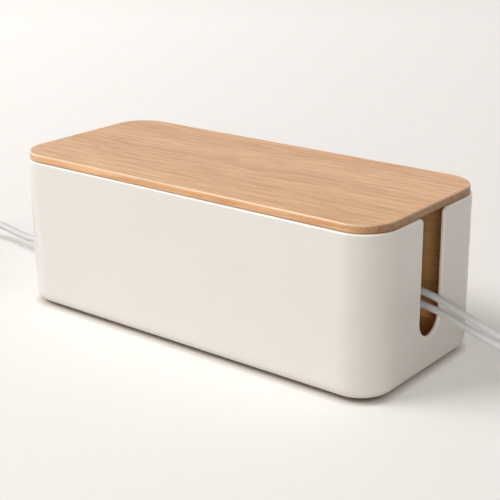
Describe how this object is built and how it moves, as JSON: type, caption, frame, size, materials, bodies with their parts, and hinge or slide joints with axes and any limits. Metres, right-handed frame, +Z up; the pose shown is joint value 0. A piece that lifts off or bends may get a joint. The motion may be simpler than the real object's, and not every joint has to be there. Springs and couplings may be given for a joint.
{
  "type": "cable management box",
  "caption": "Long rounded box with a lift-off wooden lid, a U-shaped cable slot in each end and a power strip inside.",
  "frame": {"origin": "on the surface that the box stands on, under the middle of the box", "axes": "+X along the box towards the end with the two thin leads, +Z up, -Y towards the pictured long side"},
  "size_m": [0.7388, 0.1918, 0.123],
  "materials": {
    "shell_plastic": "satin moulded, warm off-white",
    "lid_wood": "matt oiled, grain along the length",
    "lining_wood": "matt veneer",
    "foot_rubber": "matt",
    "screw_steel": "zinc plated",
    "strip_plastic": "fine sparked white",
    "rocker_plastic": "polished red",
    "shutter_plastic": "matt grey",
    "contact_brass": "rolled",
    "pin_metal": "nickel plated",
    "plug_plastic": "moulded light grey",
    "cord_jacket": "smooth light grey jacket",
    "core_brown": "core insulation",
    "core_blue": "core insulation",
    "core_green": "core insulation, green and yellow",
    "tie_fabric": "hook and loop strap"
  },
  "bodies": {
    "box": {"box_shell": "shell_plastic", "floor_board": "lining_wood", "lining_front": "lining_wood", "lining_back": "lining_wood", "foot_left_front": "foot_rubber", "foot_left_back": "foot_rubber", "foot_right_front": "foot_rubber", "foot_right_back": "foot_rubber", "strip_base": "strip_plastic", "strip_cover": "strip_plastic", "strip_screws": "screw_steel", "live_bar": "contact_brass", "neutral_bar": "contact_brass", "earth_bar": "contact_brass", "shutter_left": "shutter_plastic", "shutter_right": "shutter_plastic", "switch_housing": "strip_plastic", "switch_terminals": "contact_brass", "mains_gland": "cord_jacket", "plug_left": "plug_plastic", "plug_right": "plug_plastic", "plug_left_pins": "pin_metal", "plug_right_pins": "pin_metal", "live_wire": "core_brown", "switched_wire": "core_brown", "neutral_wire": "core_blue", "earth_wire": "core_green", "left_lead_connector": "plug_plastic", "right_lead_connector": "plug_plastic", "mains_plug": "plug_plastic", "mains_plug_pins": "pin_metal", "left_lead_run": "cord_jacket", "left_lead_coil": "cord_jacket", "left_lead_tail": "cord_jacket", "left_lead_tie": "tie_fabric", "right_lead_run": "cord_jacket", "right_lead_coil": "cord_jacket", "right_lead_tail": "cord_jacket", "right_lead_tie": "tie_fabric", "mains_lead_run": "cord_jacket", "mains_lead_coil": "cord_jacket", "mains_lead_tail": "cord_jacket", "mains_lead_tie": "tie_fabric"},
    "lid": {"lid_panel": "lid_wood", "lid_cleat_front": "lid_wood", "lid_cleat_back": "lid_wood", "lid_screws": "screw_steel"},
    "rocker": {"switch_rocker": "rocker_plastic"},
    "shutter": {"shutter_spare": "shutter_plastic"}
  },
  "joints": [
    {"name": "lid_lift", "type": "slide", "parent": "box", "child": "lid", "axis": [0, 0, 1], "range_m": [0, 0.12]},
    {"name": "switch_rock", "type": "hinge", "parent": "box", "child": "rocker", "pos_m": [-0.108, 0, 0.05], "axis": [0, 1, 0], "range_deg": [-16, 0]},
    {"name": "shutter_turn", "type": "hinge", "parent": "box", "child": "shutter", "pos_m": [-0.022, 0, 0.0325], "axis": [0, 0, 1], "range_deg": [0, 40]}
  ]
}
